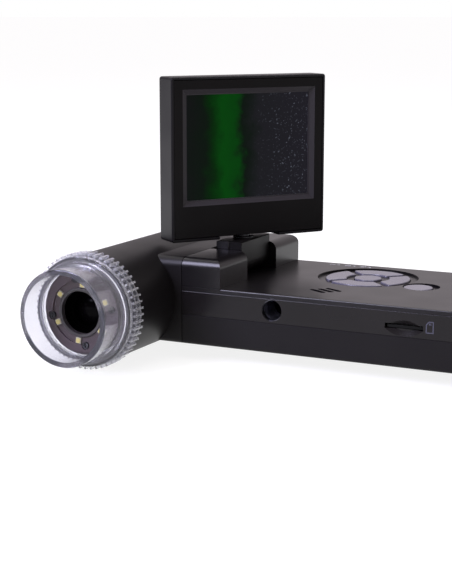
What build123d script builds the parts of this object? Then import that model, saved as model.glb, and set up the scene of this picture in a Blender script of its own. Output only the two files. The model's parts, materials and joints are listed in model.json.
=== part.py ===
from build123d import *
import os
from math import cos, radians, sin, sqrt

# Handheld video magnifier: a camera head with a clear focus ring, a handle with a keypad,
# and a screen on a tilt and swivel hinge. Millimetres, +Z up.
#
# Working frame: x = 0 on the barrel's axis, y = 0 on the handle's front side and z = 0 on its
# underside, with X along the handle and -Y the way the lens looks. On export every node moves so
# that the origin lies in the middle of the tripod insert's outer face.

# --- Handle --------------------------------------------------------------------------------------
HANDLE_LEFT = 19.6
HANDLE_RIGHT = 130.0
HANDLE_DEPTH = 61.0
LOWER_TOP = 9.65
BAND_TOP = 17.2
DECK = 18.7
COVER_TAPER = 7.0
COVER_ROUND = 0.5
EDGE_ROUND = 0.25
WALL = 1.6
FLOOR = 1.8
ROOF = 1.8
END_RADIUS = 7.0
SOFT_EDGE = 1.2
SEAM = 0.25
SEAM_DEPTH = 0.35
REGISTER_DEPTH = 1.0

# --- Camera head ---------------------------------------------------------------------------------
BARREL_Z = 13.7
BARREL_R = 17.05
BARREL_BORE = 15.05
BARREL_FRONT = 21.9
SPIGOT_R = 16.2
SPIGOT_FRONT = 27.5
REAR_CAP_THICK = 2.0
REAR_PLUG = (12.5, 4.0)
REAR_GROOVE = (12.2, 13.0, 0.4)
NECK_LEFT = 9.0
NECK_CAVITY_Z = (2.4, 15.2)
NECK_CAVITY_WALL = 5.0
RING_TIP_R = 18.2
RING_FLANGE_R = 17.2
RING_RAIL_R = 17.3
RING_ROOT_R = 16.8
RING_BORE = 16.35
RING_FRONT = 27.9
RING_BACK = 22.1
RING_FLANGE = 0.8
RAIL_WIDTH = 0.6
RIB_COUNT = 56
RIB_WIDTH = 0.6
NOZZLE_FRONT = 39.7
NOZZLE_R = 15.0
NOZZLE_BORE = 13.3
NOZZLE_STEPS = ((17.0, 0.7), (15.8, 1.5))
LED_FACE = 28.7
LED_PLATE = 1.2
LED_PLATE_R = 12.4
PLATE_SEAT = (10.0, 1.3)
LED_CIRCLE_R = 8.8
LED_COUNT = 6
LED_START = 24.0
LED_SIZE = (1.8, 1.8, 0.5)
PHOSPHOR_R = 0.75
PHOSPHOR_HEIGHT = 0.2
PLATE_COLLAR_BORE = 9.9
PLATE_COLLAR_HEIGHT = 0.5
PLATE_SCREW_CIRCLE_R = 10.2
PLATE_SCREW_START = 9.0
PLATE_SCREW_HEAD = (1.05, 0.6)
PLATE_SCREW_SHANK_R = 0.6
PLATE_SCREW_CLEARANCE_R = 1.4
LENS_HOLE_R = 6.7
LENS_BEZEL_R = 7.7
CARRIAGE_R = 8.1
CARRIAGE_BACK = 14.0
CARRIAGE_FRONT = 26.1
CARRIAGE_KEY = (1.6, 2.0, 6.0)
CARRIAGE_KEY_AT = 17.0
LENS_SEAT_STEP = 20.0
FRONT_LENS_R = 5.55
FRONT_LENS_DOME = 9.0
REAR_LENS_R = 5.15
LENS_FIT = 0.05
YOKE_R = 9.8
YOKE_BACK = 23.4
YOKE_THICK = 1.3
YOKE_SPOKE_WIDTH = 4.0
GUIDE_R = 9.9
GUIDE_BACK = 10.6
GUIDE_FLANGE = 1.4
GUIDE_FRONT = 22.0
SENSOR_BOARD = (13.0, 9.2, 10.4)
SENSOR_SIDE = 7.0
RIBBON_WIDTH = 8.0
RIBBON_THICK = 0.3
RIBBON_DROP = 5.2
FOCUS_TURN = 50.0

# --- Hinge ---------------------------------------------------------------------------------------
HOUSING_RIGHT = 33.0
HOUSING_TOP = 27.75
HOUSING_ROUND = 2.9
FRONT_CHEEK_BACK = 19.7
REAR_CHEEK_FRONT = 42.2
KNUCKLE_LEFT = 21.6
KNUCKLE_RIGHT = 30.7
KNUCKLE_TOP = 30.4
TILT_X = 26.1
TILT_Z = 23.6
PIN_R = 1.5
POST_R = 2.0
RUNNING_GAP = 0.05

# --- Screen --------------------------------------------------------------------------------------
SCREEN_TURN = 53.8
SCREEN_BOTTOM = 31.0
SCREEN_WIDTH = 56.4
SCREEN_HEIGHT = 52.6
SCREEN_THICK = 9.3
SCREEN_CORNER = 0.9
BACK_GROOVE = (5.0, 0.5)
BEZEL_LIP = 1.0
BEZEL_THICK = 1.5
LCD_WIDTH = 44.8
LCD_HEIGHT = 33.6
LCD_ABOVE_BOTTOM = 13.2
LCD_FRAME = 1.8
PANEL_HALF = 25.4
PANEL_OVERLAP = 2.5
PLATE_SCREW_X = 6.5

# --- Keypad --------------------------------------------------------------------------------------
PAD_X = 67.0
PAD_Y = 39.9
PAD_RECESS_R = 16.4
PAD_R = 13.7
PAD_INNER_R = 7.0
PAD_GAP = 2.1
OK_R = 4.7
CAPTURE_X = 87.0
CAPTURE_Y = 31.5
CAPTURE_R = 4.6
CAPTURE_RECESS_R = 5.9
RECESS_FLOOR = 17.95
KEY_TOP = 18.6
KEY_GAP = 0.2
KEY_FLANGE = 0.4
KEY_FLANGE_BOTTOM = 15.55
KEY_FLANGE_TOP = 16.1
KEY_BOARD_TOP = 14.6
BOARD_THICK = 1.0

# --- Side openings -------------------------------------------------------------------------------
SOCKET_X = 50.7
SOCKET_Z = 13.55
SOCKET_MOUTH_R = 3.35
SOCKET_INSET = 0.6
SOCKET_DEPTH = 9.0
THREAD_R = 3.175
INSERT_R = 3.85
CARD_SLOT_X = 93.5
CARD_SLOT_Z = 12.5
CARD_WIDTH = 11.0
CARD_LENGTH = 15.0
CARD_THICK = 0.8
FINGER_HALF_LENGTH = 6.2
FINGER_HALF_HEIGHT = 2.5
FINGER_DEPTH = 1.3
FINGER_TAPER = 50.0
USB_X = 58.0
AV_X = 111.0
AV_BORE_R = 1.8

# --- Inside the handle ---------------------------------------------------------------------------
MAIN_BOARD_TOP = 9.4
BATTERY = (53.0, 34.0, 5.6)
DOOR_HALF = (29.3, 19.8)
DOOR_THICK = 0.85
DOOR_STEP = 2.0
BOSS_R = 3.2
BATTERY_X = 86.5
BATTERY_Y = 30.0
CASE_SCREWS = [(25.0, 6.2), (25.0, 54.8), (123.0, 6.8), (123.0, 54.2)]
SPEAKER_X = 63.1
SPEAKER_Y = 13.2
SPEAKER_R = 7.0
SPEAKER_SLOT = (7.0, 1.7)
SPEAKER_SLOT_STEP = 1.9

ORIGIN = (SOCKET_X, SOCKET_INSET, SOCKET_Z)
PIVOT_Y = (FRONT_CHEEK_BACK + REAR_CHEEK_FRONT) / 2
HEAD = Plane(origin=(0, 0, BARREL_Z), x_dir=(1, 0, 0), z_dir=(0, -1, 0))
SCREEN = Pos(TILT_X, PIVOT_Y, SCREEN_BOTTOM) * Rot(0, 0, SCREEN_TURN)

nodes = {}


# --- Shape helpers -------------------------------------------------------------------------------
def block(x0, x1, y0, y1, z0, z1):
    centre = Pos((x0 + x1) / 2, (y0 + y1) / 2, (z0 + z1) / 2)
    return centre * Box(x1 - x0, y1 - y0, z1 - z0)


def post(x, y, r, z0, z1):
    return Pos(x, y, (z0 + z1) / 2) * Cylinder(r, z1 - z0)


def cross_rod(x, z, r, y0, y1):
    """A round bar along Y."""
    return Pos(x, (y0 + y1) / 2, z) * Rot(90, 0, 0) * Cylinder(r, y1 - y0)


def disc(r, near, far, hole=0.0):
    """A disc or ring in the head's frame, from near to far ahead of the handle's front side."""
    solid = Pos(0, 0, (near + far) / 2) * Cylinder(r, far - near)
    if hole:
        solid -= Pos(0, 0, (near + far) / 2) * Cylinder(hole, far - near + 1)
    return solid


def slab(face, z0, z1):
    return Pos(0, 0, z0) * extrude(face, z1 - z0)


def edges_along(shape, axis, x=None, y=None, z=None):
    """The straight edges along an axis whose middle lies at the given coordinates."""

    def lies_there(edge):
        middle = edge.center()
        pairs = ((middle.X, x), (middle.Y, y), (middle.Z, z))
        return all(wanted is None or abs(value - wanted) < 0.01 for value, wanted in pairs)

    return shape.edges().filter_by(axis).filter_by(lies_there)


def handle_plan(inset=0.0, left=HANDLE_LEFT):
    """The handle seen from above, closed at a straight left end."""
    right, front, back = HANDLE_RIGHT - inset, inset, HANDLE_DEPTH - inset
    face = Pos((left + right) / 2, (front + back) / 2) * Rectangle(right - left, back - front)
    return fillet(face.vertices().group_by(Axis.X)[-1], END_RADIUS - inset)


def cavity(z0, z1):
    return slab(handle_plan(WALL, HANDLE_LEFT - 1), z0, z1)


def screw(x, y, head_z, length, head_r=1.9, shank_r=1.0, head_h=1.2):
    """A pan-head screw that enters upwards, with a cross recess under its head."""
    head = post(x, y, head_r, head_z, head_z + head_h)
    head = chamfer(head.edges().group_by(Axis.Z)[0], 0.3)
    slot = head_r * 1.1
    for turn in (0, 90):
        head -= Pos(x, y, head_z + 0.3) * Rot(0, 0, turn) * Box(slot, 0.4, 0.7)
    return head + post(x, y, shank_r, head_z + head_h, head_z + head_h + length)


# --- Camera head ---------------------------------------------------------------------------------
def make_barrel():
    back = HANDLE_DEPTH - REAR_CAP_THICK
    tube = HEAD * disc(BARREL_R, -back, BARREL_FRONT)
    spigot = HEAD * disc(SPIGOT_R, BARREL_FRONT, SPIGOT_FRONT)
    neck = block(0, HANDLE_LEFT, 0, HANDLE_DEPTH, 0, BAND_TOP)
    neck = fillet(edges_along(neck, Axis.X, z=0), SOFT_EDGE)
    neck -= HEAD * disc(BARREL_R, -HANDLE_DEPTH - 1, 1)
    neck -= block(-1, NECK_LEFT, -1, HANDLE_DEPTH + 1, -1, BAND_TOP + 1)
    neck -= seam_groove()
    shell = tube + spigot + neck
    shell -= HEAD * disc(BARREL_BORE, -back - 1, SPIGOT_FRONT + 1)
    wall = NECK_CAVITY_WALL
    shell -= block(NECK_LEFT, HANDLE_LEFT + 1, wall, HANDLE_DEPTH - wall, *NECK_CAVITY_Z)
    for side in (0, 180):
        shell -= HEAD * Rot(0, 0, side) * arc_slot()
    return shell


def seam_groove():
    """The shallow groove that runs round the housing where the head meets the handle."""
    near, far, depth = HANDLE_LEFT - SEAM, HANDLE_LEFT + 1, SEAM_DEPTH
    core = block(near - 1, far + 1, depth, HANDLE_DEPTH - depth, depth, HOUSING_TOP - depth)
    core = fillet(edges_along(core, Axis.X, z=HOUSING_TOP - depth), HOUSING_ROUND - depth)
    core = fillet(edges_along(core, Axis.X, z=depth), SOFT_EDGE - depth)
    return block(near, far, -1, HANDLE_DEPTH + 1, -1, HOUSING_TOP + 1) - core


def arc_slot():
    """The window in the spigot through which a spoke of the focus yoke turns."""
    ring = disc(SPIGOT_R + 1, YOKE_BACK - 0.2, YOKE_BACK + YOKE_THICK + 0.2, BARREL_BORE - 1)
    reach, half = 40.0, radians(FOCUS_TURN + 10)
    tip_a, tip_b = (reach * cos(half), reach * sin(half)), (reach * cos(half), -reach * sin(half))
    wedge = Pos(0, 0, 20) * extrude(make_face(Polyline((0, 0), tip_a, tip_b, close=True)), 12)
    return ring & wedge


def make_head():
    nodes["barrel_shell"] = make_barrel()

    cap = HEAD * disc(BARREL_R, -HANDLE_DEPTH, -HANDLE_DEPTH + REAR_CAP_THICK)
    cap = fillet(cap.edges().group_by(Axis.Y)[-1], SOFT_EDGE)
    inner, outer, deep = REAR_GROOVE
    cap -= HEAD * disc(outer, -HANDLE_DEPTH - 1, -HANDLE_DEPTH + deep, inner)
    plug_bore, plug_length = REAR_PLUG
    seat = -HANDLE_DEPTH + REAR_CAP_THICK
    plug = disc(BARREL_BORE - 0.1, seat, seat + plug_length, plug_bore)
    nodes["barrel_rear_cap"] = cap + HEAD * plug

    fairing = block(8, HANDLE_LEFT, 0, HANDLE_DEPTH, BAND_TOP, HOUSING_TOP)
    fairing = fillet(edges_along(fairing, Axis.X, z=HOUSING_TOP), HOUSING_ROUND)
    fairing -= HEAD * disc(BARREL_R, -HANDLE_DEPTH - 1, 1)
    inside = (WALL, HANDLE_DEPTH - WALL, BAND_TOP - 1, HOUSING_TOP - ROOF)
    fairing -= block(NECK_LEFT, HANDLE_LEFT - WALL, *inside)
    nodes["head_fairing"] = fairing - seam_groove()

    nodes["focus_ring"] = HEAD * make_ring()

    nozzle = disc(NOZZLE_R, RING_FRONT, NOZZLE_FRONT)
    nozzle = fillet(nozzle.edges().group_by(Axis.Z)[-1], 0.5)
    for r, height in NOZZLE_STEPS:
        step = disc(r, RING_FRONT, RING_FRONT + height)
        nozzle += fillet(step.edges().group_by(Axis.Z)[-1], 0.25)
    nozzle -= disc(NOZZLE_BORE, RING_FRONT - 1, NOZZLE_FRONT + 1)
    nodes["nozzle"] = HEAD * nozzle

    make_led_plate()
    make_focus_drive()


def make_ring():
    """The grip ring: a front flange, axial ribs and two rails that tie the ribs together."""
    overlap = 0.5
    plan = Circle(RING_ROOT_R)
    rib = Rectangle(RING_TIP_R - RING_ROOT_R + overlap, RIB_WIDTH)
    for index in range(RIB_COUNT):
        turn = Rot(0, 0, index * 360 / RIB_COUNT)
        plan += turn * Pos((RING_TIP_R + RING_ROOT_R - overlap) / 2, 0) * rib
    ring = slab(plan, RING_BACK, RING_FRONT - RING_FLANGE)
    flange = disc(RING_FLANGE_R, RING_FRONT - RING_FLANGE, RING_FRONT)
    ring += fillet(flange.edges().group_by(Axis.Z)[-1], 0.3)
    middle = (RING_BACK + RING_FRONT - RING_FLANGE) / 2
    for start in (RING_BACK, middle - RAIL_WIDTH / 2):
        ring += disc(RING_RAIL_R, start, start + RAIL_WIDTH)
    return ring - disc(RING_BORE, RING_BACK - 1, RING_FRONT + 1)


def make_led_plate():
    plate = disc(LED_PLATE_R, LED_FACE - LED_PLATE, LED_FACE, LENS_HOLE_R + 0.3)
    seat_bore, seat_thick = PLATE_SEAT
    seat_front = LED_FACE - LED_PLATE
    plate += disc(BARREL_BORE - 0.05, seat_front - seat_thick, seat_front, seat_bore)
    plate += disc(LED_PLATE_R, LED_FACE, LED_FACE + PLATE_COLLAR_HEIGHT, PLATE_COLLAR_BORE)
    leds, bodies, screws = [], [], []
    length, width, height = LED_SIZE
    for index in range(LED_COUNT):
        place = Rot(0, 0, LED_START + index * 360 / LED_COUNT) * Pos(LED_CIRCLE_R, 0)
        bodies.append(place * Pos(0, 0, LED_FACE + height / 2) * Box(length, width, height))
        leds.append(place * disc(PHOSPHOR_R, LED_FACE + height, LED_FACE + height + PHOSPHOR_HEIGHT))
    head_r, head_height = PLATE_SCREW_HEAD
    for index in range(4):
        place = Rot(0, 0, PLATE_SCREW_START + 90 * index) * Pos(PLATE_SCREW_CIRCLE_R, 0)
        plate -= place * disc(PLATE_SCREW_CLEARANCE_R, LED_FACE, LED_FACE + 2)
        plate -= place * disc(PLATE_SCREW_SHANK_R, LED_FACE - 3, LED_FACE + 3)
        head = disc(head_r, LED_FACE, LED_FACE + head_height)
        for turn in (0, 90):
            head -= Pos(0, 0, LED_FACE + head_height) * Rot(0, 0, turn) * Box(1.3, 0.3, 0.6)
        shank = disc(PLATE_SCREW_SHANK_R, LED_FACE - LED_PLATE, LED_FACE)
        screws.append(place * (head + shank))
    nodes["led_plate"] = HEAD * plate
    nodes["led_packages"] = HEAD * Compound(bodies)
    nodes["led_phosphors"] = HEAD * Compound(leds)
    nodes["plate_screws"] = HEAD * Compound(screws)

    bezel = disc(LENS_BEZEL_R, LED_FACE, LED_FACE + 0.6)
    bezel = fillet(bezel.edges().group_by(Axis.Z)[-1], 0.3)
    bezel += disc(LENS_HOLE_R + 0.3, LED_FACE - LED_PLATE, LED_FACE + 0.3)
    nodes["lens_bezel"] = HEAD * (bezel - disc(LENS_HOLE_R, LED_FACE - 2, LED_FACE + 2))


def make_focus_drive():
    step = LENS_SEAT_STEP
    carriage = disc(CARRIAGE_R, CARRIAGE_BACK, CARRIAGE_FRONT)
    carriage += Pos(0, CARRIAGE_R + 0.4, CARRIAGE_KEY_AT) * Box(*CARRIAGE_KEY)
    carriage -= disc(FRONT_LENS_R + LENS_FIT, step, CARRIAGE_FRONT + 1)
    carriage -= disc(REAR_LENS_R + LENS_FIT, CARRIAGE_BACK + 1.5, step + 1)
    carriage -= disc(3.8, CARRIAGE_BACK - 1, CARRIAGE_BACK + 2)
    nodes["lens_carriage"] = HEAD * carriage

    dome = Pos(0, 0, step + 4.6 - FRONT_LENS_DOME) * Sphere(FRONT_LENS_DOME)
    nodes["front_lens"] = HEAD * (disc(FRONT_LENS_R, step + 1, step + 5) & dome)
    nodes["rear_lens"] = HEAD * disc(REAR_LENS_R, step - 4, step - 2)
    nodes["lens_retainer"] = HEAD * disc(FRONT_LENS_R, step + 4.75, step + 5.6, 4.7)

    yoke_front = YOKE_BACK + YOKE_THICK
    yoke = disc(YOKE_R, YOKE_BACK, yoke_front, CARRIAGE_R + 0.1)
    spoke_length = 2 * RING_BORE - 0.1
    spoke = Pos(0, 0, YOKE_BACK + YOKE_THICK / 2) * Box(spoke_length, YOKE_SPOKE_WIDTH, YOKE_THICK)
    spoke &= disc(RING_BORE, YOKE_BACK - 1, yoke_front + 1, YOKE_R - 0.8)
    nodes["focus_yoke"] = HEAD * (yoke + spoke)

    guide = disc(GUIDE_R, GUIDE_BACK, GUIDE_FRONT)
    guide += disc(BARREL_BORE - 0.05, GUIDE_BACK, GUIDE_BACK + GUIDE_FLANGE)
    guide -= disc(CARRIAGE_R + 0.1, GUIDE_BACK - 1, GUIDE_FRONT + 1)
    guide -= Pos(0, 9.0, GUIDE_FRONT - 4) * Box(CARRIAGE_KEY[0] + 0.2, 3.0, 12.0)
    nodes["lens_guide"] = HEAD * guide

    board_r, board_back, board_front = SENSOR_BOARD
    nodes["sensor_board"] = HEAD * disc(board_r, board_back, board_front)
    sensor = Box(SENSOR_SIDE, SENSOR_SIDE, 1.2)
    nodes["image_sensor"] = HEAD * Pos(0, 0, board_front + 0.6) * sensor
    half, low = RIBBON_WIDTH / 2, BARREL_Z - RIBBON_DROP
    ribbon = block(-half, half, -board_back, 19 + RIBBON_WIDTH, low, low + RIBBON_THICK)
    ribbon += block(-half, 36, 19, 19 + RIBBON_WIDTH, low, low + RIBBON_THICK)
    nodes["camera_ribbon"] = ribbon


# --- Handle casing -------------------------------------------------------------------------------
def make_lower_shell():
    shell = slab(handle_plan(), 0, LOWER_TOP)
    rim = shell.edges().group_by(Axis.Z)[0].filter_by(lambda e: e.center().X > HANDLE_LEFT + 1)
    shell = fillet(rim, SOFT_EDGE)
    top = shell.edges().group_by(Axis.Z)[-1].filter_by(lambda e: e.center().X > HANDLE_LEFT + 1)
    shell = chamfer(top, SEAM)
    shell -= cavity(FLOOR, LOWER_TOP + 1)
    for x, y in CASE_SCREWS:
        shell += post(x, y, BOSS_R, 0.5, MAIN_BOARD_TOP)
        shell -= post(x, y, BOSS_R - 1.1, -1, 2.6)
        shell -= post(x, y, 1.15, -1, LOWER_TOP + 1)
    shell -= door(0.2, -1, DOOR_THICK + 0.05)
    shell -= door(0.2 - DOOR_STEP, -1, FLOOR + 1)
    return shell - port_cuts()


def door(grow, z0, z1):
    """The battery door's outline, grown by a clearance."""
    half_x, half_y = DOOR_HALF[0] + grow, DOOR_HALF[1] + grow
    sides = (BATTERY_X - half_x, BATTERY_X + half_x, BATTERY_Y - half_y, BATTERY_Y + half_y)
    return block(*sides, z0, z1)


def make_battery_cover():
    cover = door(0, 0, DOOR_THICK) + door(-DOOR_STEP, DOOR_THICK, 1.9)
    for step in range(5):
        x = BATTERY_X + 19 + step * 1.8
        cover -= block(x, x + 1, BATTERY_Y - 7, BATTERY_Y + 7, -1, 0.4)
    return cover


def eye(half_length, half_height):
    """A pointed oval, as two arcs that meet at its ends."""
    r = (half_length**2 + half_height**2) / (2 * half_height)
    return (Pos(0, r - half_height) * Circle(r)) & (Pos(0, half_height - r) * Circle(r))


def make_band():
    band = slab(handle_plan(), LOWER_TOP, BAND_TOP)
    rim = band.edges().group_by(Axis.Z)[-1].filter_by(lambda e: e.center().X > HANDLE_LEFT + 1)
    band = fillet(rim, EDGE_ROUND) - cavity(LOWER_TOP - 1, BAND_TOP + 1)
    band += block(SOCKET_X - 6, SOCKET_X + 6, 1, SOCKET_INSET + SOCKET_DEPTH, LOWER_TOP, 16.1)
    band += block(CARD_SLOT_X - 9, CARD_SLOT_X + 9, 1, 3.4, LOWER_TOP + 0.3, 16.0)
    band -= cross_rod(SOCKET_X, SOCKET_Z, SOCKET_MOUTH_R, -1, 2)
    band -= cross_rod(SOCKET_X, SOCKET_Z, INSERT_R, SOCKET_INSET, SOCKET_INSET + SOCKET_DEPTH + 1)
    inward = Plane(origin=(CARD_SLOT_X, 0, CARD_SLOT_Z - 0.3), x_dir=(-1, 0, 0), z_dir=(0, 1, 0))
    band -= inward * extrude(eye(FINGER_HALF_LENGTH, FINGER_HALF_HEIGHT), FINGER_DEPTH, taper=FINGER_TAPER)
    half = CARD_WIDTH / 2 + 0.4
    band -= block(CARD_SLOT_X - half, CARD_SLOT_X + half, 0, 5, CARD_SLOT_Z - 0.65, CARD_SLOT_Z + 0.95)
    return band - port_cuts()


def port_cuts():
    """The openings for the two sockets, cut through both halves of the handle's back side."""
    y0, y1 = HANDLE_DEPTH - 3, HANDLE_DEPTH + 1
    usb = block(USB_X - 4.3, USB_X + 4.3, y0, y1, MAIN_BOARD_TOP - 0.1, 13.7)
    return [usb, cross_rod(AV_X, MAIN_BOARD_TOP + 2.9, 2.9, y0, y1)]


def make_top_cover():
    plan = handle_plan(0.0, HANDLE_LEFT - 5)
    plate = Pos(0, 0, BAND_TOP) * extrude(plan, DECK - BAND_TOP, taper=COVER_TAPER)
    plate = fillet(plate.edges().group_by(Axis.Z)[-1], COVER_ROUND)
    plate -= block(0, HANDLE_LEFT, -5, HANDLE_DEPTH + 5, 0, 30)
    plate += slab(handle_plan(WALL + 0.1), BAND_TOP - REGISTER_DEPTH, BAND_TOP)
    for x, y in CASE_SCREWS:
        plate += post(x, y, 2.6, LOWER_TOP, BAND_TOP)
        plate -= post(x, y, 1.02, LOWER_TOP - 1, 16.4)
    plate -= cross_rod(SOCKET_X, SOCKET_Z, INSERT_R + 0.1, 0, SOCKET_INSET + SOCKET_DEPTH + 0.5)
    plate -= post(PAD_X, PAD_Y, PAD_RECESS_R, RECESS_FLOOR, DECK + 1)
    recess = Pos(CAPTURE_X + 0.9, CAPTURE_Y + 0.5)
    plate -= recess * post(0, 0, CAPTURE_RECESS_R, RECESS_FLOOR, DECK + 1)
    for face in key_faces().values():
        plate -= slab(offset(face, KEY_GAP), BAND_TOP - 3, DECK + 1)
    for step in (-SPEAKER_SLOT_STEP, 0, SPEAKER_SLOT_STEP):
        slot = Pos(SPEAKER_X + step, SPEAKER_Y + step) * Rot(0, 0, -29) * SlotOverall(*SPEAKER_SLOT)
        plate -= slab(slot, BAND_TOP - 3, DECK + 1)
    return plate


def make_casing():
    nodes["lower_shell"] = make_lower_shell()
    nodes["side_band"] = make_band()
    nodes["top_cover"] = make_top_cover()
    nodes["battery_cover"] = make_battery_cover()
    screws = [screw(x, y, 1.4, 13.5) for x, y in CASE_SCREWS]
    nodes["case_screws"] = Compound(screws)
    nodes["battery"] = battery()


def battery():
    length, depth, height = BATTERY
    pack = Pos(BATTERY_X, BATTERY_Y, 2.1 + height / 2) * Box(length, depth, height)
    return fillet(pack.edges().filter_by(Axis.Z), 2.5)


# --- Keypad --------------------------------------------------------------------------------------
def key_faces():
    """Each key seen from above."""
    quarter = Pos(PAD_GAP / sqrt(2), 0) * make_face(Polyline((0, 0), (40, -40), (40, 40), close=True))
    arc_key = (Circle(PAD_R) - Circle(PAD_INNER_R)) & quarter
    arc_key = fillet(arc_key.vertices(), 0.8)
    faces = {}
    for index, name in enumerate(("key_right", "key_up", "key_left", "key_down")):
        faces[name] = Pos(PAD_X, PAD_Y) * Rot(0, 0, 90 * index) * arc_key
    octagon = RegularPolygon(OK_R, 8)
    faces["key_ok"] = Pos(PAD_X, PAD_Y) * fillet(octagon.vertices(), 1.2)
    faces["key_capture"] = Pos(CAPTURE_X, CAPTURE_Y) * Circle(CAPTURE_R)
    return faces


def make_keys():
    domes = []
    for name, face in key_faces().items():
        cap = slab(face, KEY_FLANGE_TOP, KEY_TOP)
        cap = fillet(cap.edges().group_by(Axis.Z)[-1], 0.35)
        flange = slab(offset(face, KEY_FLANGE), KEY_FLANGE_BOTTOM, KEY_FLANGE_TOP)
        nodes[name] = cap + flange
        middle = face.center()
        domes.append(post(middle.X, middle.Y, 2.2, KEY_BOARD_TOP, KEY_BOARD_TOP + 0.3))
    nodes["dome_switches"] = Compound(domes)


# --- Handle contents -----------------------------------------------------------------------------
def make_contents():
    board = block(36, 119.4, 3, 58, MAIN_BOARD_TOP - BOARD_THICK, MAIN_BOARD_TOP)
    nodes["main_board"] = board
    chips = block(60, 74, 28, 42, MAIN_BOARD_TOP, MAIN_BOARD_TOP + 1.2)
    chips += block(80, 90, 30, 38, MAIN_BOARD_TOP, MAIN_BOARD_TOP + 1.0)
    chips += block(100, 108, 14, 24, MAIN_BOARD_TOP, MAIN_BOARD_TOP + 1.0)
    chips += block(38, 42, 34, 44, MAIN_BOARD_TOP, MAIN_BOARD_TOP + 2.5)
    nodes["board_chips"] = chips

    keypad = block(46, 102, 22.5, 56, KEY_BOARD_TOP - BOARD_THICK, KEY_BOARD_TOP)
    keypad += block(84, 102, 3.8, 24, KEY_BOARD_TOP - BOARD_THICK, KEY_BOARD_TOP)
    nodes["keypad_board"] = keypad

    speaker = post(SPEAKER_X, SPEAKER_Y, SPEAKER_R, 12.6, 15.6)
    nodes["speaker"] = chamfer(speaker.edges().group_by(Axis.Z)[-1], 0.5)

    insert = cross_rod(SOCKET_X, SOCKET_Z, INSERT_R, SOCKET_INSET, SOCKET_INSET + SOCKET_DEPTH)
    bore = cross_rod(SOCKET_X, SOCKET_Z, THREAD_R, SOCKET_INSET - 1, SOCKET_INSET + SOCKET_DEPTH + 1)
    nodes["tripod_insert"] = insert - bore

    left, right = CARD_SLOT_X - CARD_WIDTH / 2, CARD_SLOT_X + CARD_WIDTH / 2
    low, high = CARD_SLOT_Z - CARD_THICK / 2, CARD_SLOT_Z + CARD_THICK / 2
    card = block(left, right, 0.9, 0.9 + CARD_LENGTH, low, high)
    nodes["memory_card"] = card - block(right - 1.2, right + 1, 9, 17, low - 1, high + 1)
    under_board = KEY_BOARD_TOP - BOARD_THICK
    tray = block(left - 1.2, right + 1.2, 4.0, 17.6, low - 0.9, under_board)
    nodes["card_socket"] = tray - block(left - 0.1, right + 0.1, 3, 16.9, low - 0.1, high + 0.1)

    back = HANDLE_DEPTH
    usb = block(USB_X - 4.1, USB_X + 4.1, back - 9.5, back - 0.4, MAIN_BOARD_TOP, 13.5)
    nodes["usb_socket"] = usb - block(USB_X - 3.5, USB_X + 3.5, back - 7, back, 10.0, 12.9)
    jack = block(AV_X - 3, AV_X + 3, back - 14, back - 2, MAIN_BOARD_TOP, MAIN_BOARD_TOP + 5.6)
    jack += cross_rod(AV_X, MAIN_BOARD_TOP + 2.9, 2.8, back - 3, back - 0.3)
    nodes["av_socket"] = jack - cross_rod(AV_X, MAIN_BOARD_TOP + 2.9, AV_BORE_R, back - 13, back + 1)


# --- Hinge ---------------------------------------------------------------------------------------
def make_cheek(y0, y1, outer, inner_wall):
    """One hollow cheek of the hinge housing. Its outer long edge and its right end are rounded."""
    cheek = block(HANDLE_LEFT, HOUSING_RIGHT, y0, y1, BAND_TOP, HOUSING_TOP)
    long_edge = edges_along(cheek, Axis.X, y=outer, z=HOUSING_TOP)
    end_edge = edges_along(cheek, Axis.Y, x=HOUSING_RIGHT, z=HOUSING_TOP)
    cheek = fillet(long_edge + end_edge, HOUSING_ROUND)
    cheek -= block(HANDLE_LEFT, HOUSING_RIGHT, outer - SEAM, outer + SEAM, DECK - SEAM / 2, DECK + SEAM / 2)
    low_y, high_y = (y0 + WALL, inner_wall) if outer == y0 else (inner_wall, y1 - WALL)
    cheek -= block(HANDLE_LEFT + WALL, HOUSING_RIGHT - WALL, low_y, high_y, DECK, HOUSING_TOP - ROOF)
    bore_y = (y0 + 4, y1 + 1) if outer == y0 else (y0 - 1, y1 - 4)
    cheek -= cross_rod(TILT_X, TILT_Z, PIN_R + RUNNING_GAP, *bore_y)
    cheek -= nodes["top_cover"]
    return cheek.solids().sort_by(SortBy.VOLUME)[-1]


def make_knuckle_half(x0, x1):
    """Half of the block that tilts between the cheeks, round at its foot about the tilt axis."""
    y0, y1 = FRONT_CHEEK_BACK + 0.5, REAR_CHEEK_FRONT - 0.5
    half = block(x0, x1, y0, y1, TILT_Z, KNUCKLE_TOP)
    foot = cross_rod(TILT_X, TILT_Z, (KNUCKLE_RIGHT - KNUCKLE_LEFT) / 2, y0, y1)
    half += foot & block(x0, x1, y0, y1, 0, TILT_Z)
    half = chamfer(edges_along(half, Axis.Y, z=KNUCKLE_TOP), SEAM)
    half = chamfer(edges_along(half, Axis.Z, x=TILT_X, y=y0), SEAM)
    half -= cross_rod(TILT_X, TILT_Z, PIN_R, y0 - 1, y1 + 1)
    half -= post(TILT_X, PIVOT_Y, POST_R, TILT_Z + 2.2, KNUCKLE_TOP + 1)
    return half


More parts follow.
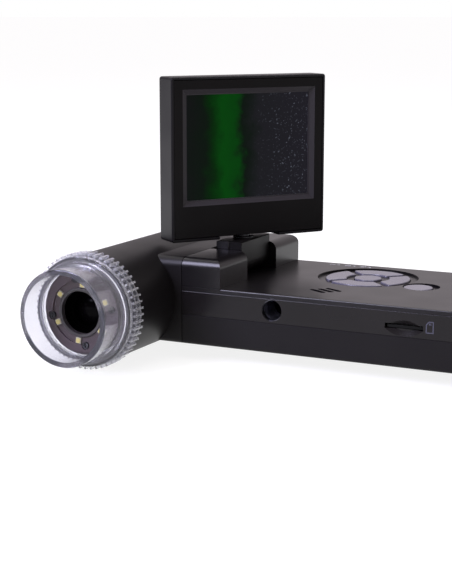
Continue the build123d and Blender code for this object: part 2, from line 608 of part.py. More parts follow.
def make_hinge():
    nodes["front_cheek"] = make_cheek(0, FRONT_CHEEK_BACK, 0, FRONT_CHEEK_BACK - 2.2)
    nodes["rear_cheek"] = make_cheek(REAR_CHEEK_FRONT, HANDLE_DEPTH, HANDLE_DEPTH, REAR_CHEEK_FRONT + 2.2)
    nodes["knuckle_left"] = make_knuckle_half(KNUCKLE_LEFT, TILT_X)
    nodes["knuckle_right"] = make_knuckle_half(TILT_X, KNUCKLE_RIGHT)
    pin = cross_rod(TILT_X, TILT_Z, PIN_R, FRONT_CHEEK_BACK - 3, REAR_CHEEK_FRONT + 3)
    nodes["tilt_pin"] = chamfer(pin.edges(), 0.2)
    washers = []
    for y in (FRONT_CHEEK_BACK + 0.15, REAR_CHEEK_FRONT - 0.45):
        ring = cross_rod(TILT_X, TILT_Z, 3.6, y, y + 0.3)
        washers.append(ring - cross_rod(TILT_X, TILT_Z, PIN_R, y - 1, y + 1))
    nodes["friction_washers"] = Compound(washers)
    stem = post(TILT_X, PIVOT_Y, POST_R, TILT_Z + 2.4, SCREEN_BOTTOM + 5.2)
    collar = post(TILT_X, PIVOT_Y, 3.4, KNUCKLE_TOP, KNUCKLE_TOP + 0.5)
    cap = post(TILT_X, PIVOT_Y, 2.7, SCREEN_BOTTOM + 5.2, SCREEN_BOTTOM + 6.2)
    wire_way = post(TILT_X, PIVOT_Y, 1.1, TILT_Z, SCREEN_BOTTOM + 8)
    nodes["swivel_post"] = stem + collar + cap - wire_way


# --- Screen --------------------------------------------------------------------------------------
def make_screen():
    width, thick, height = SCREEN_WIDTH, SCREEN_THICK, SCREEN_HEIGHT
    front = -thick / 2
    lcd_low, lcd_high = LCD_ABOVE_BOTTOM, LCD_ABOVE_BOTTOM + LCD_HEIGHT
    lcd_middle = (lcd_low + lcd_high) / 2

    tub = Pos(0, 0, height / 2) * Box(width, thick, height)
    tub = fillet(tub.edges().filter_by(Axis.Y), SCREEN_CORNER)
    tub = fillet(tub.edges().group_by(Axis.Y)[-1], 0.8)
    tub = chamfer(tub.edges().group_by(Axis.Y)[0], 0.3)
    lip, inner = BEZEL_LIP - 0.1, width / 2 - 1.7
    seat = front + BEZEL_THICK
    tub -= block(-width / 2 + lip, width / 2 - lip, front - 1, seat, lip, height - lip)
    tub -= block(-inner, inner, front, thick / 2 - 1.4, 1.7, height - 1.7)
    tub -= block(-11, 11, front - 1, 2.9, -1, 1.0) + block(-11, 11, seat, 2.9, 0, 1.8)
    for x in (-PLATE_SCREW_X, PLATE_SCREW_X):
        tub -= Pos(x, 3.5, 7.5) * Rot(90, 0, 0) * Cylinder(0.6, 1.2)
    rim, groove = BACK_GROOVE
    behind = (thick / 2 - groove, thick / 2 + 1)
    outline = block(rim - width / 2, width / 2 - rim, *behind, rim, height - rim)
    rim += groove
    tub -= outline - block(rim - width / 2, width / 2 - rim, *behind, rim, height - rim)
    nodes["screen_back_cover"] = tub

    edge = width / 2 - BEZEL_LIP
    bezel = block(-edge, edge, front, seat, BEZEL_LIP, height - BEZEL_LIP)
    bezel = fillet(bezel.edges().filter_by(Axis.Y), 0.5)
    bezel = chamfer(bezel.edges().group_by(Axis.Y)[0], 0.2)
    window = Plane(origin=(0, front, lcd_middle), x_dir=(1, 0, 0), z_dir=(0, 1, 0))
    opening = Rectangle(LCD_WIDTH + 2 * LCD_FRAME, LCD_HEIGHT + 2 * LCD_FRAME)
    bezel -= window * extrude(opening, 1.0, taper=55)
    bezel -= block(-LCD_WIDTH / 2, LCD_WIDTH / 2, front - 1, front + 3, lcd_low, lcd_high)
    nodes["screen_bezel"] = bezel

    low, high = lcd_low - PANEL_OVERLAP, lcd_high + PANEL_OVERLAP
    nodes["lcd_panel"] = block(-PANEL_HALF, PANEL_HALF, seat, seat + 1.5, low, high)
    nodes["lcd_backlight"] = block(-PANEL_HALF, PANEL_HALF, seat + 1.5, seat + 3.1, low, high)
    nodes["screen_board"] = block(-22, 22, seat + 3.3, seat + 4.1, lcd_low - 1, lcd_high)

    plate = block(-9, 9, -2.9, 2.9, 4.2, 5.1)
    for x in (-PLATE_SCREW_X, PLATE_SCREW_X):
        plate += block(x - 2.5, x + 2.5, 2.0, 2.9, 5.1, 9.5)
        plate -= Pos(x, 2.4, 7.5) * Rot(90, 0, 0) * Cylinder(0.6, 4)
    plate -= post(0, 0, POST_R + RUNNING_GAP, 4, 6)
    nodes["swivel_plate"] = plate
    bosses = []
    for x in (-PLATE_SCREW_X, PLATE_SCREW_X):
        shank = Pos(x, 3.0, 7.5) * Rot(90, 0, 0) * Cylinder(0.6, 2.0)
        head = Pos(x, 1.7, 7.5) * Rot(90, 0, 0) * Cylinder(1.2, 0.6)
        bosses.append(head + shank)
    nodes["plate_fixing_screws"] = Compound(bosses)


SCREEN_NODES = [
    "screen_back_cover",
    "screen_bezel",
    "lcd_panel",
    "lcd_backlight",
    "screen_board",
    "swivel_plate",
    "plate_fixing_screws",
]

make_head()
make_casing()
make_keys()
make_contents()
make_hinge()
make_screen()
for name in SCREEN_NODES:
    nodes[name] = SCREEN * nodes[name]

os.makedirs("parts", exist_ok=True)
shift = Location((-ORIGIN[0], -ORIGIN[1], -ORIGIN[2]))
for name, shape in nodes.items():
    moved = [solid.moved(shift) for solid in shape.solids()]
    export_step(Compound(moved), f"parts/{name}.step")
print(len(nodes), "nodes written")
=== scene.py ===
import json
import math

import bmesh
import bpy
from mathutils import Matrix, Vector


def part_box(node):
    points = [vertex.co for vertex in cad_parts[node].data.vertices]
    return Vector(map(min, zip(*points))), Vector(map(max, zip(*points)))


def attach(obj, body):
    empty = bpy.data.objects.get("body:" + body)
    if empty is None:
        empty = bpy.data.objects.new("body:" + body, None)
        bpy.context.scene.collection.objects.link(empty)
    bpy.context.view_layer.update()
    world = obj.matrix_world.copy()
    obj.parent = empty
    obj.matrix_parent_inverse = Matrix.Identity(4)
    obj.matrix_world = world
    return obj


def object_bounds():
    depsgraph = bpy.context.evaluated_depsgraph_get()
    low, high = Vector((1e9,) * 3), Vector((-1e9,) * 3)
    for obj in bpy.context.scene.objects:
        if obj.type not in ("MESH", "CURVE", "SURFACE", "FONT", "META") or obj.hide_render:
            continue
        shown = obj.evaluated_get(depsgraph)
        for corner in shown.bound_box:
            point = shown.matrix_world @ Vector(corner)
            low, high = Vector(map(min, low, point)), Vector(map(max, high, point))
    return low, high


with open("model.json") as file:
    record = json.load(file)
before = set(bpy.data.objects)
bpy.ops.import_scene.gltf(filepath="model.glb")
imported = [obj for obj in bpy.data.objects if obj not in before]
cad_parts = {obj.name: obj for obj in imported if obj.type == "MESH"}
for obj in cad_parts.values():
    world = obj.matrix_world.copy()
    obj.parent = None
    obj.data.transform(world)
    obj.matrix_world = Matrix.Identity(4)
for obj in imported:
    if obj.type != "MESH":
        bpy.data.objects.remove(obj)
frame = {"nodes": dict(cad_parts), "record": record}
nodes = frame["nodes"]
cad_low, cad_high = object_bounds()
MM = 0.001

# The screen: its turn about the vertical in degrees, its display, and the sloping frame around that.
SCREEN_TURN = 53.8
DISPLAY_SIZE = (44.8 * MM, 33.6 * MM)
DISPLAY_FRAME = 1.8 * MM

# The room: how strongly it lights from above, from the front, and from behind, and its colour.
WORLD_TOP = 0.40
WORLD_FRONT = 0.16
WORLD_BACK = 0.58
WORLD_TINT = (1.0, 0.91, 0.96)
WHITE = (1, 1, 1)
FLOOR_SIZE = 60.0
FLOOR_GAP = 0.2 * MM

# Printed marks, in millimetres in the frame's axes.
PORT_MARK_STARTS = (-4.2, 1.4, 7.0)
PORT_MARK_Y = 56.2
INK_THICK = 0.03
INK_LIFT = 0.01 * MM


# --- Camera, floor and light ---------------------------------------------------------------------
def aim(thing, place, target):
    thing.location = place
    thing.rotation_mode = "QUATERNION"
    thing.rotation_quaternion = (Vector(target) - Vector(place)).to_track_quat("-Z", "Y")


def make_camera(azimuth, elevation, distance, target, lens):
    data = bpy.data.cameras.new("camera")
    data.lens = lens
    data.sensor_width = 36.0
    data.clip_start, data.clip_end = 0.01, 20.0
    camera = bpy.data.objects.new("camera", data)
    bpy.context.scene.collection.objects.link(camera)
    a, e = math.radians(azimuth), math.radians(elevation)
    back = Vector((math.sin(a) * math.cos(e), -math.cos(a) * math.cos(e), math.sin(e)))
    aim(camera, Vector(target) + back * distance, target)
    bpy.context.scene.camera = camera


def make_light(name, place, target, size, power, colour=WHITE):
    data = bpy.data.lights.new(name, "AREA")
    data.shape = "RECTANGLE"
    data.size, data.size_y = size
    data.energy = power
    data.color = colour
    light = bpy.data.objects.new(name, data)
    bpy.context.scene.collection.objects.link(light)
    aim(light, place, target)


def make_floor():
    bpy.ops.mesh.primitive_plane_add(size=FLOOR_SIZE, location=(0, 0, cad_low.z - FLOOR_GAP))
    floor = bpy.context.object
    floor.name = "floor"
    material, shader, _ = new_material("floor_paper")
    shader.inputs["Base Color"].default_value = (0.25, 0.25, 0.25, 1)
    shader.inputs["Roughness"].default_value = 0.95
    shader.inputs["Specular IOR Level"].default_value = 0.0
    shader.inputs["Emission Color"].default_value = (1, 1, 1, 1)
    shader.inputs["Emission Strength"].default_value = 0.85
    floor.data.materials.append(material)


def make_world():
    """A white room: what is seen directly is white, and the light is strongest from above and behind."""
    world = bpy.data.worlds.new("studio")
    bpy.context.scene.world = world
    world.use_nodes = True
    tree = world.node_tree
    background = tree.nodes["Background"]
    where = add(tree, "ShaderNodeTexCoord")
    split = add(tree, "ShaderNodeSeparateXYZ")
    tree.links.new(where.outputs["Generated"], split.inputs["Vector"])
    above = spread(tree, split.outputs["Z"], 0.0, WORLD_TOP, 0.1, 0.9)
    behind = spread(tree, split.outputs["Y"], WORLD_FRONT, WORLD_BACK, -0.2, 0.9)
    total = math_node(tree, "ADD", above, behind)
    rays = add(tree, "ShaderNodeLightPath")
    direct = math_node(tree, "MAXIMUM", rays.outputs["Is Camera Ray"], rays.outputs["Is Transmission Ray"])
    chosen = add(tree, "ShaderNodeMix", data_type="FLOAT")
    tree.links.new(direct, chosen.inputs["Factor"])
    tree.links.new(total, chosen.inputs["A"])
    chosen.inputs["B"].default_value = 1.0
    tree.links.new(mix(tree, direct, WORLD_TINT, WHITE), background.inputs["Color"])
    tree.links.new(chosen.outputs["Result"], background.inputs["Strength"])


# --- Materials -----------------------------------------------------------------------------------
def new_material(name):
    material = bpy.data.materials.new(name)
    material.use_nodes = True
    tree = material.node_tree
    return material, tree.nodes["Principled BSDF"], tree


def add(tree, kind, **settings):
    node = tree.nodes.new(kind)
    for key, value in settings.items():
        setattr(node, key, value)
    return node


def noise(tree, scale, detail=4.0, rough=0.6):
    where = add(tree, "ShaderNodeTexCoord")
    field = add(tree, "ShaderNodeTexNoise")
    field.inputs["Scale"].default_value = scale
    field.inputs["Detail"].default_value = detail
    field.inputs["Roughness"].default_value = rough
    tree.links.new(where.outputs["Object"], field.inputs["Vector"])
    return field.outputs["Fac"]


def spread(tree, value, low, high, start=0.35, end=0.65):
    """Maps a value onto a range, and holds it there."""
    ranged = add(tree, "ShaderNodeMapRange")
    for key, number in (("From Min", start), ("From Max", end), ("To Min", low), ("To Max", high)):
        ranged.inputs[key].default_value = number
    tree.links.new(value, ranged.inputs["Value"])
    return ranged.outputs["Result"]


def mix(tree, factor, first, second):
    blended = add(tree, "ShaderNodeMix", data_type="RGBA")
    blended.inputs["A"].default_value = (*first, 1)
    blended.inputs["B"].default_value = (*second, 1)
    tree.links.new(factor, blended.inputs["Factor"])
    return blended.outputs["Result"]


def blend(tree, factor, first, second):
    """Blends a colour socket towards one fixed colour."""
    blended = add(tree, "ShaderNodeMix", data_type="RGBA")
    blended.inputs["B"].default_value = (*second, 1)
    tree.links.new(factor, blended.inputs["Factor"])
    tree.links.new(first, blended.inputs["A"])
    return blended.outputs["Result"]


def object_axes(tree, centre=(0, 0, 0), turn=0.0):
    """X, Y and Z of a piece's own coordinates, turned about Z and then measured from a point."""
    where = add(tree, "ShaderNodeTexCoord")
    place = add(tree, "ShaderNodeMapping", vector_type="POINT")
    place.inputs["Rotation"].default_value = (0, 0, turn)
    place.inputs["Location"].default_value = -(Matrix.Rotation(turn, 3, "Z") @ Vector(centre))
    tree.links.new(where.outputs["Object"], place.inputs["Vector"])
    split = add(tree, "ShaderNodeSeparateXYZ")
    tree.links.new(place.outputs["Vector"], split.inputs["Vector"])
    return split.outputs


def display_axes(tree):
    """Across, through and up the display, measured from its centre."""
    low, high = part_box("lcd_panel")
    return object_axes(tree, (low + high) / 2, math.radians(-SCREEN_TURN))


def math_node(tree, operation, first, second):
    """A Math node whose operands are sockets or numbers."""
    node = add(tree, "ShaderNodeMath", operation=operation)
    for place, value in enumerate((first, second)):
        if isinstance(value, (int, float)):
            node.inputs[place].default_value = value
        else:
            tree.links.new(value, node.inputs[place])
    return node.outputs["Value"]


def bump(tree, shader, height, strength, distance):
    relief = add(tree, "ShaderNodeBump")
    relief.inputs["Strength"].default_value = strength
    relief.inputs["Distance"].default_value = distance
    tree.links.new(height, relief.inputs["Height"])
    tree.links.new(relief.outputs["Normal"], shader.inputs["Normal"])


def plastic(name, dark, light, rough, grain=2600.0, relief=0.08, depth=0.00002, level=0.5, coat=0.0):
    """Moulded plastic: mottled colour, uneven gloss and a fine spark-eroded grain."""
    material, shader, tree = new_material(name)
    tint = mix(tree, spread(tree, noise(tree, 45.0, 1.0), 0, 1, 0.2, 0.8), dark, light)
    tree.links.new(tint, shader.inputs["Base Color"])
    wear = spread(tree, noise(tree, 70.0, 1.0), rough[0], rough[1], 0.2, 0.8)
    tree.links.new(wear, shader.inputs["Roughness"])
    shader.inputs["Specular IOR Level"].default_value = level
    shader.inputs["Coat Weight"].default_value = coat
    shader.inputs["Coat Roughness"].default_value = 0.08
    bump(tree, shader, noise(tree, grain, 2.0), relief, depth)
    return material


def metal(name, dark, light, rough, grain=900.0):
    material, shader, tree = new_material(name)
    tint = mix(tree, spread(tree, noise(tree, 300.0), 0, 1), dark, light)
    tree.links.new(tint, shader.inputs["Base Color"])
    tree.links.new(spread(tree, noise(tree, 700.0), rough[0], rough[1]), shader.inputs["Roughness"])
    shader.inputs["Metallic"].default_value = 1.0
    bump(tree, shader, noise(tree, grain), 0.15, 0.00002)
    return material


def clear(name, colour, rough, ior, through, relief=0.05):
    """Clear moulded acrylic with slightly uneven walls and a little haze."""
    material, shader, tree = new_material(name)
    haze = tuple(0.94 * part for part in colour)
    tint = mix(tree, spread(tree, noise(tree, 90.0), 0, 1), haze, colour)
    tree.links.new(tint, shader.inputs["Base Color"])
    shader.inputs["Transmission Weight"].default_value = through
    shader.inputs["IOR"].default_value = ior
    tree.links.new(spread(tree, noise(tree, 400.0), rough[0], rough[1]), shader.inputs["Roughness"])
    bump(tree, shader, noise(tree, 180.0), relief, 0.00005)
    return material, tint, shader, tree


def clear_nozzle(name):
    """Clear acrylic whose polished front rim carries broad slate-blue patches of painted reflection among
    white ones.
    """
    material, tint, shader, tree = clear(name, (0.90, 0.90, 0.96), (0.0, 0.03), 1.45, 0.94)
    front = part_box("nozzle")[0].y
    rim = spread(tree, object_axes(tree)["Y"], 1.0, 0.0, front + 0.2 * MM, front + 0.5 * MM)
    # Painted reflection: noise patches on the front rim blend the colour towards slate blue.
    painted_reflection_patches = spread(tree, noise(tree, 75.0, 1.0), 0.0, 0.95, 0.42, 0.50)
    painted_reflection_mask = math_node(tree, "MULTIPLY", rim, painted_reflection_patches)
    tree.links.new(blend(tree, painted_reflection_mask, tint, (0.12, 0.13, 0.19)), shader.inputs["Base Color"])
    return material


def clear_ring(name):
    """Clear acrylic whose ribs are white, with painted shade darkening the base between them, standing in
    for the dark barrel seen through.
    """
    material, tint, shader, tree = clear(name, (0.96, 0.96, 1.0), (0.03, 0.10), 1.42, 0.78)
    low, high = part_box("focus_ring")
    axes = object_axes(tree, (low + high) / 2)
    across = math_node(tree, "MULTIPLY", axes["X"], axes["X"])
    upward = math_node(tree, "MULTIPLY", axes["Z"], axes["Z"])
    radius = math_node(tree, "SQRT", math_node(tree, "ADD", across, upward), 0.0)
    rib_tip = (high.z - low.z) / 2
    # Painted shade: below the rib tips the colour is darkened to grey.
    root_painted_shade = spread(tree, radius, 1.0, 0.0, rib_tip - 1.3 * MM, rib_tip - 0.9 * MM)
    tree.links.new(blend(tree, root_painted_shade, tint, (0.50, 0.50, 0.56)), shader.inputs["Base Color"])
    return material


def screen_bezel(name):
    """Black bezel plastic, with a lighter satin frame sloping down to the display."""
    dark, light = (0.0025, 0.002, 0.0022), (0.004, 0.003, 0.0033)
    material = plastic(name, dark, light, (0.3, 0.4), relief=0.08, level=0.11)
    tree = material.node_tree
    shader = tree.nodes["Principled BSDF"]
    black = shader.inputs["Base Color"].links[0].from_socket
    axes = display_axes(tree)
    inside = 1.0
    for axis, size in zip(("X", "Z"), DISPLAY_SIZE):
        away = math_node(tree, "ABSOLUTE", axes[axis], 0.0)
        reach = size / 2 + DISPLAY_FRAME
        inside = math_node(tree, "MULTIPLY", inside, math_node(tree, "LESS_THAN", away, reach))
    tree.links.new(blend(tree, inside, black, (0.035, 0.032, 0.036)), shader.inputs["Base Color"])
    return material


def glass_painted_shade(name):
    """Coated lens glass in front of a black barrel, coloured nearly black and opaque as painted shade of the
    bore behind it.
    """
    material, shader, tree = new_material(name)
    # Painted shade: the glass itself is coloured nearly black.
    tint = mix(tree, spread(tree, noise(tree, 200.0), 0, 1), (0.001, 0.001, 0.0012), (0.002, 0.0015, 0.002))
    tree.links.new(tint, shader.inputs["Base Color"])
    shader.inputs["Roughness"].default_value = 0.03
    shader.inputs["Specular IOR Level"].default_value = 0.03
    return material


def display_picture(name):
    """The live picture: a green specimen on black, with a grey-blue, speckled ground at its right."""
    material, shader, tree = new_material(name)
    shader.inputs["Base Color"].default_value = (0.002, 0.002, 0.002, 1)
    shader.inputs["Roughness"].default_value = 0.12
    shader.inputs["Specular IOR Level"].default_value = 0.02
    wobble = noise(tree, 160.0, 5.0)
    across = math_node(tree, "ADD", math_node(tree, "MULTIPLY", wobble, 10 * MM), display_axes(tree)["X"])
    ramp = add(tree, "ShaderNodeValToRGB")
    tree.links.new(spread(tree, across, 0, 1, -17.4 * MM, 27.4 * MM), ramp.inputs["Fac"])
    stops = ramp.color_ramp
    stops.elements[0].color = (0.004, 0.005, 0.005, 1)
    stops.elements[1].color = (0.012, 0.011, 0.016, 1)
    for place_at, colour in (
        (0.14, (0.002, 0.006, 0.003, 1)),
        (0.22, (0.0, 0.018, 0.001, 1)),
        (0.32, (0.0, 0.048, 0.002, 1)),
        (0.40, (0.0, 0.040, 0.002, 1)),
        (0.47, (0.002, 0.006, 0.003, 1)),
        (0.60, (0.010, 0.010, 0.013, 1)),
    ):
        stops.elements.new(place_at).color = colour
    specks = spread(tree, noise(tree, 1500.0, 2.0), 0, 1, 0.62, 0.72)
    ground = spread(tree, across, 0, 1, 6 * MM, 20 * MM)
    speckled = math_node(tree, "MULTIPLY", specks, ground)
    picture = blend(tree, speckled, ramp.outputs["Color"], (0.10, 0.11, 0.14))
    tree.links.new(picture, shader.inputs["Emission Color"])
    shader.inputs["Emission Strength"].default_value = 1.0
    return material


# Materials by slot. The nozzle, focus ring and bezel have only their own, below.
MATERIALS = {
    "barrel_plastic": lambda: plastic(
        "barrel", (0.003, 0.0022, 0.0025), (0.005, 0.004, 0.0045), (0.40, 0.48), level=0.22,
    ),
    "lower_plastic": lambda: plastic(
        "lower", (0.005, 0.004, 0.005), (0.008, 0.007, 0.008), (0.45, 0.6), level=0.16,
    ),
    "gloss_band": lambda: plastic(
        "band", (0.005, 0.004, 0.0045), (0.008, 0.0065, 0.0075), (0.2, 0.3), relief=0.06, level=0.24,
    ),
    "top_plastic": lambda: plastic(
        "deck", (0.004, 0.0032, 0.004), (0.006, 0.005, 0.006), (0.27, 0.33), level=0.37,
    ),
    "plate_black": lambda: plastic(
        "inner_black", (0.055, 0.042, 0.046), (0.085, 0.066, 0.072), (0.4, 0.6), level=0.3,
    ),
    "led_package": lambda: plastic("led_white", (0.30, 0.28, 0.22), (0.40, 0.38, 0.30), (0.25, 0.4)),
    "led_phosphor": lambda: plastic(
        "led_yellow", (0.42, 0.36, 0.12), (0.55, 0.48, 0.18), (0.15, 0.3), coat=0.4,
    ),
    "screw_black": lambda: metal("black_oxide", (0.03, 0.03, 0.032), (0.06, 0.06, 0.065), (0.3, 0.45)),
    "steel": lambda: metal("bright_steel", (0.45, 0.45, 0.46), (0.6, 0.6, 0.61), (0.18, 0.34)),
    "washer_plastic": lambda: plastic("acetal", (0.05, 0.05, 0.05), (0.08, 0.08, 0.08), (0.3, 0.45)),
    "lens_glass": lambda: glass_painted_shade("optic_painted_shade"),
    "circuit_board": lambda: plastic(
        "solder_mask", (0.01, 0.10, 0.04), (0.02, 0.17, 0.07), (0.25, 0.4),
    ),
    "chip_black": lambda: plastic("epoxy", (0.02, 0.02, 0.02), (0.04, 0.04, 0.04), (0.45, 0.6)),
    "ribbon": lambda: plastic("amber_film", (0.45, 0.25, 0.05), (0.6, 0.38, 0.08), (0.2, 0.35)),
    "battery_wrap": lambda: plastic("cell_wrap", (0.06, 0.12, 0.3), (0.1, 0.18, 0.4), (0.2, 0.35)),
    "key_lavender": lambda: plastic(
        "keys", (0.105, 0.10, 0.13), (0.13, 0.125, 0.16), (0.2, 0.32), relief=0.05, coat=0.3,
    ),
    # The insert metal is its own dull tone darkened further: painted shade of the deep tripod hole.
    "insert_metal": lambda: metal("insert", (0.10, 0.10, 0.12), (0.16, 0.16, 0.19), (0.15, 0.25)),
    "jack_black": lambda: plastic("jack", (0.01, 0.01, 0.01), (0.02, 0.02, 0.02), (0.25, 0.4)),
    "screen_shell": lambda: plastic(
        "screen_shell", (0.004, 0.0032, 0.0045), (0.006, 0.005, 0.007), (0.3, 0.42), level=0.17,
    ),
    "display": lambda: display_picture("picture"),
    "backlight_white": lambda: plastic("diffuser", (0.7, 0.7, 0.7), (0.8, 0.8, 0.8), (0.4, 0.5)),
}
NODE_MATERIALS = {
    "nozzle": lambda: clear_nozzle("nozzle_acrylic"),
    # The lens carriage and retainer are black plastic made darker still and without reflection: painted
    # shade of the deep lens bore.
    "lens_carriage": lambda: plastic(
        "lens_black_painted_shade", (0.0006, 0.0005, 0.0006), (0.001, 0.001, 0.001), (0.7, 0.9), level=0.0,
    ),
    "lens_retainer": lambda: plastic(
        "retainer_black_painted_shade", (0.0006, 0.0005, 0.0006), (0.001, 0.001, 0.001), (0.7, 0.9), level=0.0,
    ),
    "knuckle_right": lambda: plastic(
        "knuckle", (0.003, 0.0025, 0.0025), (0.005, 0.004, 0.004), (0.38, 0.48), level=0.12,
    ),
    "memory_card": lambda: plastic(
        "card_black", (0.003, 0.003, 0.003), (0.006, 0.006, 0.006), (0.4, 0.5), level=0.1,
    ),
    "screen_bezel": lambda: screen_bezel("bezel"),
    "focus_ring": lambda: clear_ring("ring_acrylic"),
    "lens_bezel": lambda: plastic(
        "bezel_grey", (0.030, 0.027, 0.028), (0.045, 0.040, 0.042), (0.3, 0.4), level=0.4,
    ),
}


def dress_nodes():
    made = {name: build() for name, build in MATERIALS.items()}
    for part in frame["record"]["subparts"]:
        node = nodes[part["node"]]
        node.data.materials.clear()
        own = NODE_MATERIALS.get(part["node"])
        node.data.materials.append(own() if own else made[part["material_slot"]])
    return made


# --- Pieces finer than the frame -----------------------------------------------------------------
def new_piece(name, vertices, faces, body, slot, material, smooth=False):
    mesh = bpy.data.meshes.new(name)
    mesh.from_pydata(vertices, [], faces)
    shell = bmesh.new()
    shell.from_mesh(mesh)
    bmesh.ops.recalc_face_normals(shell, faces=shell.faces)
    shell.to_mesh(mesh)
    shell.free()
    mesh.materials.append(material)
    for face in mesh.polygons:
        face.use_smooth = smooth
    piece = bpy.data.objects.new(name, mesh)
    bpy.context.scene.collection.objects.link(piece)
    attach(piece, body)
    return piece


def make_thread(made):
    """The 1/4 inch internal thread, as one helical ridge on the insert's bore."""
    pitch, steps, turns = 1.27, 48, 6
    outer, crest = 3.2, 2.8
    vertices, faces = [], []
    for index in range(steps * turns + 1):
        angle = 2 * math.pi * index / steps
        depth = 0.75 + pitch * index / steps
        for radius, along in ((outer, depth - 0.55), (outer, depth + 0.55), (crest, depth)):
            vertices.append((radius * math.cos(angle) * MM, along * MM, radius * math.sin(angle) * MM))
    for index in range(steps * turns):
        base = 3 * index
        for side in range(3):
            a, b = base + side, base + (side + 1) % 3
            faces.append((a, b, b + 3, a + 3))
    faces += [(0, 1, 2), tuple(len(vertices) - 3 + side for side in (2, 1, 0))]
    new_piece("tripod_thread", vertices, faces, "housing", "insert_metal", made["insert_metal"])


def prism(outline, hole, to_space, thick):
    """Vertices and faces of a flat outline, or of the band between it and its hole, given some thickness."""
    rings = [outline] + ([hole] if hole else [])
    vertices, faces, count = [], [], len(outline)
    for ring in rings:
        vertices += [to_space(u, v, 0.0) for u, v in ring]
        vertices += [to_space(u, v, thick) for u, v in ring]
    for number in range(len(rings)):
        base = 2 * count * number
        for index in range(count):
            after = (index + 1) % count
            faces.append((base + index, base + after, base + count + after, base + count + index))
    if hole:
        for index in range(count):
            after = (index + 1) % count
            for near in (0, count):
                far = 2 * count + near
                faces.append((near + index, near + after, far + after, far + index))
    else:
        faces += [tuple(range(count)), tuple(range(count, 2 * count))]
    return vertices, faces


def rectangle(u0, u1, v0, v1):
    return [(u0, v0), (u1, v0), (u1, v1), (u0, v1)]


def join_prisms(parts):
    vertices, faces = [], []
    for some_vertices, some_faces in parts:
        faces += [tuple(number + len(vertices) for number in face) for face in some_faces]
        vertices += some_vertices
    return vertices, faces


def make_print():
    """Generic printed marks: a row of port symbols by the deck's back edge, and a card by the slot."""
    ink = plastic("ink", (0.36, 0.36, 0.38), (0.50, 0.50, 0.52), (0.5, 0.6), level=0.2)
    deck_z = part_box("top_cover")[1].z

    def on_deck(u, v, w):
        return (u * MM, v * MM, deck_z + INK_LIFT + w * MM)

    symbols = []
    y = PORT_MARK_Y
    for x in PORT_MARK_STARTS:
        outer = rectangle(x, x + 1.9, y, y + 1.2)
        inner = rectangle(x + 0.35, x + 1.55, y + 0.35, y + 0.85)
        arrow = [(x + 2.6, y), (x + 3.9, y), (x + 3.25, y + 1.2)]
        symbols.append(prism(outer, inner, on_deck, INK_THICK))
        symbols.append(prism(arrow, None, on_deck, INK_THICK))
    vertices, faces = join_prisms(symbols)
    new_piece("port_marks", vertices, faces, "housing", "key_lavender", ink)

    faint = plastic("faint_ink", (0.05, 0.05, 0.075), (0.08, 0.08, 0.11), (0.4, 0.5), level=0.3)
    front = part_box("side_band")[0].y

    def on_side(u, v, w):
        return (u * MM, front - INK_LIFT - w * MM, v * MM)

    card = [(49.6, -2.1), (52.0, -2.1), (52.0, 1.5), (50.5, 1.5), (49.6, 0.5)]
    inner = [(49.9, -1.8), (51.7, -1.8), (51.7, 1.2), (50.65, 1.2), (49.9, 0.35)]
    pieces = [prism(card, inner, on_side, INK_THICK)]
    for u in (50.6, 51.0):
        pieces.append(prism(rectangle(u, u + 0.25, 0.3, 0.95), None, on_side, INK_THICK))
    vertices, faces = join_prisms(pieces)
    new_piece("card_mark", vertices, faces, "housing", "key_lavender", faint)


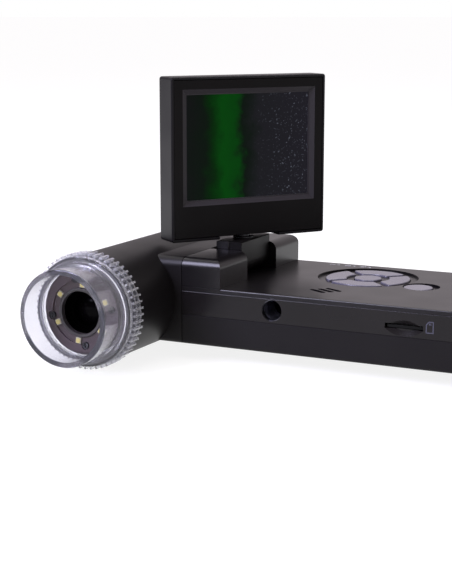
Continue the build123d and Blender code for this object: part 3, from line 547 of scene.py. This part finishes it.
def make_speaker_cloth():
    """The woven cloth under the speaker's slots."""
    low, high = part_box("speaker")
    centre, radius, top = (low + high) / 2, (high.x - low.x) / 2 - 0.0008, high.z + 0.00015
    rings, spokes = 34, 96
    vertices, faces = [(centre.x, centre.y, top)], []
    for ring in range(1, rings + 1):
        for spoke in range(spokes):
            angle = 2 * math.pi * spoke / spokes
            x, y = radius * ring / rings * math.cos(angle), radius * ring / rings * math.sin(angle)
            weave = math.sin(x / 0.00013) * math.sin(y / 0.00013)
            vertices.append((centre.x + x, centre.y + y, top + 0.00008 * weave))
    for spoke in range(spokes):
        faces.append((0, 1 + spoke, 1 + (spoke + 1) % spokes))
    for ring in range(rings - 1):
        base = 1 + ring * spokes
        for spoke in range(spokes):
            after = (spoke + 1) % spokes
            faces.append((base + spoke, base + spokes + spoke, base + spokes + after, base + after))
    cloth = plastic("speaker_cloth", (0.004, 0.004, 0.004), (0.010, 0.010, 0.010), (0.7, 0.9), level=0.1)
    new_piece("speaker_cloth", vertices, faces, "housing", "chip_black", cloth, smooth=True)


def make_usb_tongue(made):
    """The contact tongue inside the USB socket, with five contacts along its top."""
    low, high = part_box("usb_socket")
    centre_x, z, back = (low.x + high.x) / 2, (low.z + high.z) / 2, high.y
    half, thick, front = 0.0024, 0.0003, back - 0.0012

    def bar(x0, x1, y0, y1, z0, z1, lip):
        outline = [(y0, z0), (y1 - lip, z0), (y1, z0 + lip), (y1, z1 - lip), (y1 - lip, z1), (y0, z1)]
        count = len(outline)
        points = [(x0, y, h) for y, h in outline] + [(x1, y, h) for y, h in outline]
        sides = [(i, (i + 1) % count, count + (i + 1) % count, count + i) for i in range(count)]
        return points, sides + [tuple(range(count)), tuple(range(count, 2 * count))]

    tongue = bar(centre_x - half, centre_x + half, low.y + 0.003, front, z - thick, z + thick, 0.0002)
    new_piece("usb_tongue", *tongue, "housing", "jack_black", made["jack_black"])
    contacts = []
    for index in range(5):
        x = centre_x - 0.0018 + 0.0009 * index
        bottom, top = z + thick, z + thick + 0.0001
        contacts.append(bar(x - 0.0002, x + 0.0002, low.y + 0.003, front - 0.0004, bottom, top, 0.00004))
    gold = metal("contact_gold", (0.6, 0.42, 0.15), (0.75, 0.55, 0.22), (0.2, 0.3))
    new_piece("usb_contacts", *join_prisms(contacts), "housing", "steel", gold)


make_camera(azimuth=26.4, elevation=11.13, distance=0.4829, target=(-0.0308, 0.0300, -0.0022), lens=88.7)
make_floor()
make_world()
make_light(
    "key_softbox",
    place=(-0.394, -0.595, 0.495),
    target=(-0.02, 0, 0.01),
    size=(0.36, 0.45),
    power=10.0,
    colour=(0.76, 0.74, 1.0),
)
make_light("top_softbox", place=(-0.1, 0.2, 0.9), target=(0, 0, 0), size=(0.8, 0.8), power=6.0)
made = dress_nodes()
make_thread(made)
make_print()
make_speaker_cloth()
make_usb_tongue(made)

bpy.context.scene.view_settings.view_transform = "Standard"
